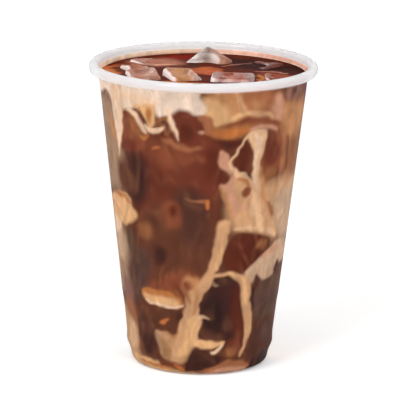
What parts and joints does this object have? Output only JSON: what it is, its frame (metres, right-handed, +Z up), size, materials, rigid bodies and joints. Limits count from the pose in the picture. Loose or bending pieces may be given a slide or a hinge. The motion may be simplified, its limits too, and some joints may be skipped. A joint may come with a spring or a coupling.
{
  "type": "iced coffee in a clear cup",
  "caption": "Iced coffee with swirls of cream, filled nearly to the brim of a clear tapered plastic cup with a rolled lip, with ice cubes breaking the surface.",
  "frame": {"origin": "middle of the ring that the cup stands on", "axes": "+Z up along the cup's axis, out of its mouth; -Y is the side with the clearest cream swirls"},
  "size_m": [0.098, 0.098, 0.1313],
  "materials": {
    "clear_plastic": "gloss",
    "coffee": "gloss",
    "ice": "gloss"
  },
  "bodies": {
    "root": {"cup": "clear_plastic", "coffee": "coffee", "ice_back": "ice", "ice_back_left": "ice", "ice_back_right": "ice", "ice_left_chip": "ice", "ice_left": "ice", "ice_centre_left": "ice", "ice_centre_right": "ice", "ice_right": "ice", "ice_front_left": "ice", "ice_front": "ice", "ice_front_right": "ice"}
  },
  "joints": []
}
